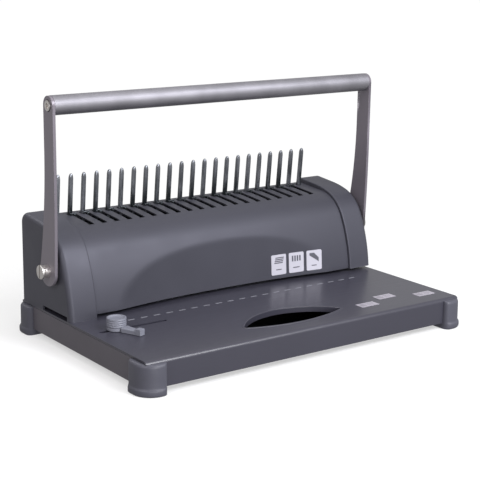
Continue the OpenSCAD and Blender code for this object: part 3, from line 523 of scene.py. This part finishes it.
def cap_stations():
    """Sections of a cap as (x, inset), from its inner edge out; None follows the shell instead."""
    stations = [(CAP_IN_X, None), (CAP_IN_X, CAP_IN_R)]
    r = CAP_IN_R
    for k in range(1, 5):
        turn = math.pi / 2 * k / 4
        stations.append((CAP_IN_X + r * (1 - math.cos(turn)), r * (1 - math.sin(turn))))
    stations += [(CAP_IN_X + 8, 0.0), (CAP_IN_X + 16, 0.0)]
    for k in range(9):
        turn = math.pi / 2 * k / 8
        stations.append((HALF_W - CAP_EDGE * (1 - math.sin(turn)), CAP_EDGE * (1 - math.cos(turn))))
    return stations


def build_cap(name, side):
    """Raised end cap: a swept band with a rolled outer edge, a soft inner edge and a flat side."""
    bm = bmesh.new()
    lift = THROAT if side > 0 else 0.0
    rows = []
    for x, inset in cap_stations():
        if inset is None:
            line = profile_line(SHELL_PROFILE, CAP_RAISE + CAP_LAP)
        else:
            line = profile_line(CAP_PROFILE, inset)
        line[0] = Vector((line[0].x, TABLE_Z + lift))
        rows.append([bm.verts.new((side * x, p.x, p.y)) for p in line])
    grid_faces(bm, rows)
    # The side's lower edge: the paper slot is a notch on the left and open in front on the right
    front, rear = NOTCH_Y
    edge = [(rear, TABLE_Z), (rear, NOTCH_Z), (front, NOTCH_Z), (front, TABLE_Z)]
    if side > 0:
        edge = [(rear, TABLE_Z), (rear, TABLE_Z + lift)]
    corner = [bm.verts.new((side * HALF_W, y, z)) for y, z in edge]
    bm.faces.new(rows[-1] + corner)
    bmesh.ops.remove_doubles(bm, verts=bm.verts, dist=0.0005)
    cap = add_piece("cap_band_" + name, bm, "base", "housing", ("end_cap_" + name,))
    modifier(cap, "SOLIDIFY", thickness=CAP_WALL * MM, offset=-1, use_even_offset=False)
    modifier(cap, "EDGE_SPLIT", split_angle=math.radians(CAP_CRISP_ANGLE))
    modifier(cap, "WEIGHTED_NORMAL", keep_sharp=True)


# The comb row: 9/16 inch apart, with a slot to the right of every finger but the outer two
PITCH = 14.2875
FINGERS = 22
COMB_SHIFT = -3.5
SLOT_CENTRE = 4.4
SLOT_W = 5.8
SLOT_Y = (62.0, 102.0)
HOLE_Y = (95.5, 102.0)
HOLE_W = 4.6

SHELL_WALL = 1.3
SHELL_LAP = 3.0
SHELL_EDGE = 0.25
SEAM_Z = 90.0
COLUMN_STEP = 3.2
# The slots and holes are above ROOF_Z; BACK_Y parts the roof from the rear wall
ROOF_Z = 100.0
BACK_Y = 90.0

# The concave front: its y in the middle of the table line, its bow in plan, and its lean
RELIEF_Y = 29.2
RELIEF_R = 1205.0
RELIEF_FLARE = 1.087e-8
RELIEF_LEAN = 3.9
RELIEF_END_Y = 60.0
CREASE = 0.9


def finger_x(i):
    return COMB_SHIFT + (i - (FINGERS - 1) / 2) * PITCH


def relief_y(x, z):
    """y of the concave front."""
    bow = x * x / (2 * RELIEF_R) + RELIEF_FLARE * x ** 4
    return RELIEF_Y - bow + (z - TABLE_Z) * math.tan(math.radians(RELIEF_LEAN))


def soft_max(a, b, width):
    """The larger of two lengths, with a rounded change from one to the other."""
    gap = max(width - abs(a - b), 0.0) / width
    return max(a, b) + gap * gap * width / 4


def shell_columns():
    """x of every column of the shell's grid: slot and hole edges, and even steps between them."""
    marks = [-CAP_IN_X - SHELL_LAP, CAP_IN_X + SHELL_LAP]
    for i in range(FINGERS):
        marks += [finger_x(i) - HOLE_W / 2, finger_x(i) + SLOT_CENTRE - SLOT_W / 2]
        if 0 < i < FINGERS - 1:
            marks.append(finger_x(i) + SLOT_CENTRE + SLOT_W / 2)
    marks.sort()
    columns = []
    for a, b in zip(marks, marks[1:]):
        n = max(1, math.ceil((b - a) / COLUMN_STEP))
        columns += [a + (b - a) * k / n for k in range(n)]
    return columns + [marks[-1]]


def shell_rows():
    """Profile points of the shell, dense at the crease, with rows on the slot and hole ends."""
    line = profile_line(SHELL_PROFILE, CAP_RAISE, steps=30, rear_steps=10)
    line = [p for p in line if p.y >= TABLE_Z + THROAT + 1.0 or p.x > RELIEF_END_Y]
    foot = line[0].copy()
    foot.y = TABLE_Z + THROAT
    line.insert(0, foot)
    line = [p for p in line if not (p.x > BACK_Y and p.y < SEAM_Z)]
    out = []
    stops = sorted(SLOT_Y + HOLE_Y[:1])
    for a, b in zip(line, line[1:]):
        out.append(a)
        for y in stops:
            apart = min(abs(a.x - y), abs(b.x - y)) > 0.01
            if a.x < y <= b.x and b.y > ROOF_Z and apart:
                out.append(a + (b - a) * ((y - a.x) / (b.x - a.x)))
    out.append(line[-1])
    out.append(Vector((line[-1].x, SEAM_Z)))
    return out


def build_shell():
    """Centre shell with its concave front, comb slots and finger holes."""
    bm = bmesh.new()
    columns, line = shell_columns(), shell_rows()
    rows = []
    for x in columns:
        row = []
        for p in line:
            y = p.x
            if p.x < RELIEF_END_Y:
                y = soft_max(p.x, relief_y(x, p.y), CREASE)
            row.append(bm.verts.new((x, y, p.y)))
        rows.append(row)

    def solid(i, j):
        """Whether the face at column i and row j is clear of every slot and hole."""
        x = (columns[i] + columns[i + 1]) / 2
        y = (line[j].x + line[j + 1].x) / 2
        if (line[j].y + line[j + 1].y) / 2 < ROOF_Z:
            return True
        for k in range(FINGERS):
            off = x - finger_x(k)
            slotted = 0 < k < FINGERS - 1 and abs(off - SLOT_CENTRE) < SLOT_W / 2
            if slotted and SLOT_Y[0] < y < SLOT_Y[1]:
                return False
            in_hole = -HOLE_W / 2 < off < SLOT_CENTRE - SLOT_W / 2
            if in_hole and HOLE_Y[0] < y < HOLE_Y[1]:
                return False
        return True

    grid_faces(bm, rows, solid)
    shell = add_piece("shell_skin", bm, "base", "housing", ("centre_shell",))
    modifier(shell, "SOLIDIFY", thickness=SHELL_WALL * MM, offset=-1)
    modifier(shell, "BEVEL", width=SHELL_EDGE * MM, segments=2, limit_method="ANGLE",
             angle_limit=math.radians(50), harden_normals=True)


LATHE_STEPS = 72


def lathe(bm, outline, centre, axis="Z"):
    """Spins (radius, height) points round an axis through centre."""
    rings = []
    for r, h in outline:
        ring = []
        for k in range(LATHE_STEPS):
            a = 2 * math.pi * k / LATHE_STEPS
            u, v = r * math.cos(a), r * math.sin(a)
            offset = Vector((u, v, h)) if axis == "Z" else Vector((h, u, v))
            ring.append(bm.verts.new(Vector(centre) + offset))
        rings.append(ring)
    loft(bm, rings)


# Pivot bolts: (y, z) of the axis, x of the arm's face, and (radius, length) of barrel and head;
# the slot is (half width, depth)
BOLT_AT = (49.0, 75.0)
BOLT_X = 190.1
BOLT_BARREL = (6.1, 5.6)
BOLT_HEAD = (6.8, 2.8)
BOLT_SLOT = (0.75, 1.2)
BOLT_STEPS = 32


def bolt_half(bm, side, sign):
    """Half of a slotted head: a D-shaped block beside the screwdriver slot."""
    edge = BOLT_HEAD[0]
    face = BOLT_X + BOLT_BARREL[1] + BOLT_HEAD[1]
    rings = []
    for r, x in ((edge, face - BOLT_SLOT[1]), (edge, face - 0.7),
                 (edge - 0.25, face - 0.25), (edge - 0.8, face)):
        start = math.asin(BOLT_SLOT[0] / r)
        ring = []
        for k in range(BOLT_STEPS + 1):
            a = start + (math.pi - 2 * start) * k / BOLT_STEPS
            y, z = BOLT_AT[0] + sign * r * math.sin(a), BOLT_AT[1] + r * math.cos(a)
            ring.append(bm.verts.new((side * x, y, z)))
        rings.append(ring)
    loft(bm, rings)


def build_bolts():
    """Pivot bolts: a turned barrel, a narrow neck and a slotted round head."""
    bm = bmesh.new()
    (barrel, length), (edge, head) = BOLT_BARREL, BOLT_HEAD
    outline = ((barrel, 0.0), (barrel, length - 0.9), (barrel - 0.5, length - 0.5),
               (barrel - 0.5, length), (edge - 0.4, length), (edge, length + 0.4),
               (edge, length + head - BOLT_SLOT[1]))
    for side in SIDES.values():
        lathe(bm, [(r, side * (BOLT_X + h)) for r, h in outline], (0.0, *BOLT_AT), axis="X")
        bolt_half(bm, side, -1)
        bolt_half(bm, side, 1)
    bolts = add_piece("pivot_bolt_set", bm, "handle", "bright_steel", ("pivot_bolts",))
    modifier(bolts, "EDGE_SPLIT", split_angle=math.radians(35))


KNOB_AT = (-158.0, -22.0)
KNOB_R = 9.2
KNOB_RINGS = 4
KNOB_RING_H = 2.0
KNOB_RINGS_Z = 34.6


def build_knob():
    """Clamp knob with rolled rings round its wall and a dished top."""
    bm = bmesh.new()
    r = KNOB_R
    outline = [(r - 0.9, 34.2), (r - 0.25, 34.4)]
    for ring in range(KNOB_RINGS):
        for k in range(7):
            z = KNOB_RINGS_Z + ring * KNOB_RING_H + KNOB_RING_H * k / 6
            outline.append((r - 0.5 + 0.5 * math.sin(math.pi * k / 6), z))
    outline += [(r - 0.1, 42.75), (r - 0.4, 43.0), (r - 1.5, 43.0), (r - 1.9, 42.8)]
    outline += [(r - 2.4, 42.2), (r - 3.4, 41.9), (2.0, 41.8), (0.3, 41.8)]
    lathe(bm, outline, (*KNOB_AT, 0))
    knob = add_piece("clamp_knob", bm, "knob", "guide", ("guide_knob",))
    modifier(knob, "EDGE_SPLIT", split_angle=math.radians(50))


# The lever's two sections as (distance, half width, height), and the corners of its tip
LEVER_TURN = -72.0
LEVER_Z = 31.2
LEVER = ((9.5, 5.0, 4.6), (25.0, 2.9, 4.2))
LEVER_CHAMFER = 0.8
LEVER_TIP = ((25.0, -3.2, 0.0), (31.0, 3.2, 6.0))


def build_lever():
    """Edge guide: a base disc with a tapering lever and a raised block at its tip."""
    bm = bmesh.new()
    disc = [(KNOB_R - 0.5, 31.2), (KNOB_R, 31.6), (KNOB_R, 33.6), (KNOB_R - 0.4, 34.0)]
    lathe(bm, disc, (*KNOB_AT, 0))
    turn = Matrix.Rotation(math.radians(LEVER_TURN), 4, "Z")
    place = Matrix.Translation((*KNOB_AT, LEVER_Z)) @ turn
    c = LEVER_CHAMFER
    rings = []
    for x, w, top in LEVER:
        outline = ((-w, 0), (w, 0), (w, top - c), (w - c, top), (c - w, top), (-w, top - c))
        rings.append([bm.verts.new(place @ Vector((x, y, z))) for y, z in outline])
    loft(bm, rings)
    box(bm, *LEVER_TIP, place)
    guide = add_piece("guide_lever", bm, "guide", "guide", ("edge_guide",))
    modifier(guide, "BEVEL", width=0.45 * MM, segments=3, limit_method="ANGLE",
             angle_limit=math.radians(35), harden_normals=True)


PLATE_X = (57.8, 79.6, 101.4)
PLATE_SIZE = (18.2, 21.2)
PLATE_LOW_Z = 38.4
PLATE_CORNER = 0.9
# Depths from the concave front, negative towards the viewer: back, front and printed face
PLATE_BACK = 0.5
PLATE_FRONT = -0.55
PLATE_PRINT = (-0.62, -0.5)


def rectangle(u, v, width, height):
    return [(u, v), (u + width, v), (u + width, v + height), (u, v + height)]


def plate_patch(bm, k, points, depths):
    """A flat shape on plate k, from points in the plate's own plane, between two depths."""
    left = PLATE_X[k]
    mid = left + PLATE_SIZE[0] / 2
    face_y = relief_y(mid, PLATE_LOW_Z)
    lean = math.tan(math.radians(RELIEF_LEAN))
    slope = relief_y(mid + 0.5, PLATE_LOW_Z) - relief_y(mid - 0.5, PLATE_LOW_Z)
    rings = []
    for depth in depths:
        ring = []
        for u, v in points:
            y = face_y + depth + v * lean + slope * (left + u - mid)
            ring.append(bm.verts.new((left + u, y, PLATE_LOW_Z + v)))
        rings.append(ring)
    loft(bm, rings)


def build_plates():
    """The three pale plates, with cut corners, set against the concave front."""
    bm = bmesh.new()
    (w, h), c = PLATE_SIZE, PLATE_CORNER
    outline = [(c, 0), (w - c, 0), (w, c), (w, h - c), (w - c, h), (c, h), (0, h - c), (0, c)]
    for k in range(len(PLATE_X)):
        plate_patch(bm, k, outline, (PLATE_FRONT, PLATE_BACK))
    add_piece("plate_set", bm, "base", "plate", ("function_plates",), smooth=False)


def build_plate_icons():
    """Plain pictograms on the plates: a stack of sheets, a ring row and a folded corner."""
    bm = bmesh.new()

    def patch(k, points):
        plate_patch(bm, k, points, PLATE_PRINT)

    for k in range(4):
        patch(0, rectangle(3.5 + 0.5 * k, 12.0 + 1.8 * k, 10.5, 1.1))
        patch(1, rectangle(3.6 + 3.0 * k, 12.0, 1.8, 6.0))
    patch(0, rectangle(5.5, 5.0, 7.0, 1.0))
    patch(1, rectangle(5.0, 5.0, 8.0, 1.0))
    patch(2, [(3.5, 18.5), (9.0, 18.5), (14.5, 13.0), (14.5, 8.5), (12.0, 10.5), (3.5, 16.0)])
    patch(2, rectangle(6.0, 4.6, 6.0, 1.0))
    add_piece("plate_icons", bm, "base", "mark", smooth=False, material=INK)


# Centres (x, y) of the pale fields on the table, and the heights of the print on them
FIELDS = ((88.0, -88.0), (121.0, -76.0), (162.0, -90.0))
FIELD_PRINT = (TABLE_Z + 0.2, TABLE_Z + 0.28)


def build_table_icons():
    """Plain pictograms on the pale fields of the table: an arrow, a sheet and rows of lines."""
    bm = bmesh.new()

    def patch(at, points):
        loft(bm, [[bm.verts.new((at[0] + u, at[1] + v, z)) for u, v in points]
                  for z in FIELD_PRINT])

    for at in FIELDS:
        patch(at, rectangle(-9.0, -3.6, 5.6, 7.2))
        for row in range(3):
            patch(at, rectangle(0.0, 2.2 - 2.4 * row, 9.0 - 1.5 * row, 1.0))
        patch(at, [(-2.6, -0.5), (-1.4, 0.3), (-2.6, 1.1)])
    add_piece("table_icons", bm, "base", "mark", smooth=False, material=PALE_INK)


# Corners of a hook's stem and nose, with x from the finger beside it
HOOK_STEM = ((2.7, 93.0, 99.5), (5.1, 97.0, 115.2))
HOOK_NOSE = ((-1.6, 93.4, 114.4), (5.1, 94.8, 116.4))


def build_hooks():
    """Comb hooks: a stem in each slot and a low nose in front of the finger beside it."""
    bm = bmesh.new()
    for i in range(1, FINGERS - 1):
        place = Matrix.Translation((finger_x(i), 0.0, 0.0))
        box(bm, *HOOK_STEM, place)
        box(bm, *HOOK_NOSE, place)
    # the hooks take the dark painted-shade plating instead of their slot's zinc sheet
    hooks = add_piece("comb_hook_set", bm, "opener", "plated_steel", ("comb_hooks",),
                      smooth=False, material=HOOK_PLATING)
    modifier(hooks, "BEVEL", width=0.4 * MM, segments=2, harden_normals=True)


# (y, z) of a finger's foot, and its sections as (distance up, half width, corner cut)
FINGER_BASE = (99.1, 102.6)
FINGER_LEAN = 5.6
FINGER_SECTIONS = (
    (0.0, 1.9, 0.3), (20.0, 1.9, 0.3), (40.0, 1.88, 0.3), (48.6, 1.85, 0.35), (50.4, 1.72, 0.45),
    (51.8, 1.45, 0.5), (52.7, 1.1, 0.45), (53.2, 0.6, 0.3),
)


def build_fingers():
    """Upright square fingers with eased corners and tapered tips, leaning a little forward."""
    bm = bmesh.new()
    lean = Matrix.Rotation(math.radians(FINGER_LEAN), 4, "X")
    for i in range(FINGERS):
        place = Matrix.Translation((finger_x(i), *FINGER_BASE)) @ lean
        rings = []
        for along, half, ease in FINGER_SECTIONS:
            inner = half - ease
            corners = ((half, -inner), (half, inner), (inner, half), (-inner, half),
                       (-half, inner), (-half, -inner), (-inner, -half), (inner, -half))
            rings.append([bm.verts.new(place @ Vector((x, y, along))) for x, y in corners])
        loft(bm, rings)
    fingers = add_piece("comb_finger_set", bm, "base", "finger", ("comb_fingers",))
    modifier(fingers, "EDGE_SPLIT", split_angle=math.radians(50))
    modifier(fingers, "WEIGHTED_NORMAL", keep_sharp=True)


# The hand hole: half its width, y of its tips, the rise of its two arcs, and its rolled rim
HOLE_HALF = 58.0
HOLE_TIP_Y = -83.0
HOLE_RISE = (30.0, -12.0)
HOLE_STEPS = 64
RIM_R = 1.1
RIM_UP = 0.45
RIM_LEG = (-0.6, -2.0)
RIM_STEPS = 8


def hole_outline():
    """Points round the hand hole with their outward directions, along one arc and back."""
    points = []
    for rise in HOLE_RISE:
        up = 1 if rise > 0 else -1
        r = (HOLE_HALF ** 2 + rise * rise) / (2 * abs(rise))
        centre_y = HOLE_TIP_Y + rise - up * r
        half = math.asin(HOLE_HALF / r)
        for k in range(HOLE_STEPS):
            a = half * (1 - 2 * (k + 0.5) / HOLE_STEPS)
            outward = Vector((math.sin(a) * up, math.cos(a) * up))
            points.append((Vector((0.0, centre_y)) + r * outward, outward))
    return points


def build_hole_rim():
    """Rolled lip round the hand hole, a low half-round bead on the sheet."""
    bm = bmesh.new()
    profile = [(0.0, RIM_LEG[1]), (0.0, RIM_LEG[0])]
    for k in range(RIM_STEPS + 1):
        turn = math.pi * k / RIM_STEPS
        profile.append((RIM_R * (1 - math.cos(turn)), RIM_UP * math.sin(turn)))
    profile += [(2 * RIM_R, RIM_LEG[0]), (2 * RIM_R, RIM_LEG[1])]
    rings = []
    for at, outward in hole_outline():
        spots = [(at + outward * off, up) for off, up in profile]
        rings.append([bm.verts.new((spot.x, spot.y, TABLE_Z + up)) for spot, up in spots])
    for k in range(len(rings)):
        a, b = rings[k], rings[(k + 1) % len(rings)]
        for i in range(len(profile)):
            n = (i + 1) % len(profile)
            bm.faces.new((a[i], b[i], b[n], a[n]))
    rim = add_piece("hand_hole_lip", bm, "base", "table")
    modifier(rim, "EDGE_SPLIT", split_angle=math.radians(60))


# Plan of a foot: its inner and outer corner and its radii. Its levels are (height, growth of plan).
FOOT_IN = (165.0, 92.0)
FOOT_OUT = (190.0, 121.5)
FOOT_R = 17.0
FOOT_END_R = 5.0
FOOT_END_MIN_R = 0.8
FOOT_LEVELS = (
    (0.0, 0.3), (0.3, 0.8), (0.9, 1.25), (1.8, 1.5), (4.6, 1.5), (5.5, 1.3), (6.1, 0.9),
    (6.5, 0.45), (7.1, 0.15), (8.2, 0.0), (16.0, -0.1), (25.2, -0.2), (26.4, -0.4), (27.4, -0.9),
    (28.1, -1.6), (28.5, -2.5), (28.6, -3.6),
)


def foot_plan(grow):
    """Corner of the base in plan, round at its outer corner and at its two ends."""
    x0, y0 = FOOT_IN
    x1, y1 = FOOT_OUT[0] + grow, FOOT_OUT[1] + grow
    end_r, corner_r = max(FOOT_END_R + grow, FOOT_END_MIN_R), FOOT_R + grow
    points = [(x0, y0)]
    turns = (
        (x1 - end_r, y0 + end_r, end_r, -90, 4),
        (x1 - corner_r, y1 - corner_r, corner_r, 0, 12),
        (x0 + end_r, y1 - end_r, end_r, 90, 4),
    )
    for cx, cy, r, start, steps in turns:
        for k in range(steps + 1):
            a = math.radians(start + 90 * k / steps)
            points.append((cx + r * math.cos(a), cy + r * math.sin(a)))
    return points


def build_foot(name, sx, sy):
    """A rounded corner foot with a rolled ring at the ground and a soft top edge."""
    bm = bmesh.new()
    loft(bm, [[bm.verts.new((sx * x, sy * y, z)) for x, y in foot_plan(grow)]
              for z, grow in FOOT_LEVELS])
    foot = add_piece("corner_" + name, bm, "base", "foot", ("foot_" + name,))
    modifier(foot, "EDGE_SPLIT", split_angle=math.radians(55))


# ---------------------------------------------------------------- the scene

make_camera()
make_world(diffuse=0.26, glossy=0.55, seen=1.0)
make_floor(floor_material(seen=0.95, bounced=0.35, near=0.2, far=0.5))
area_light("front", (0.36, -1.05, 0.98), (-0.03, 0.0, 0.06), (0.75, 0.7), 20, (0.95, 0.96, 1.0))
area_light("fill", (-0.3, -1.5, 0.35), (-0.05, 0.0, 0.03), (0.9, 0.4), 12)
area_light("top", (-0.05, 0.0, 1.4), (0.0, 0.0, 0.05), (1.0, 0.9), 6)
area_light("left", (-1.1, -0.4, 0.85), (-0.2, 0.0, 0.08), (0.5, 0.5), 5.0, (1.0, 0.95, 0.97))
area_light("rear", (-0.45, 1.3, 1.25), (0.0, 0.0, 0.08), (0.7, 0.6), 5)
bpy.context.scene.view_settings.view_transform = "Standard"

dress_frame()
for side_name, side in SIDES.items():
    build_cap(side_name, side)
build_shell()
build_knob()
build_bolts()
build_lever()
build_plates()
build_plate_icons()
build_table_icons()
build_hole_rim()
build_fingers()
build_hooks()
for side_name, side in SIDES.items():
    build_foot("front_" + side_name, side, -1)
    build_foot("rear_" + side_name, side, 1)
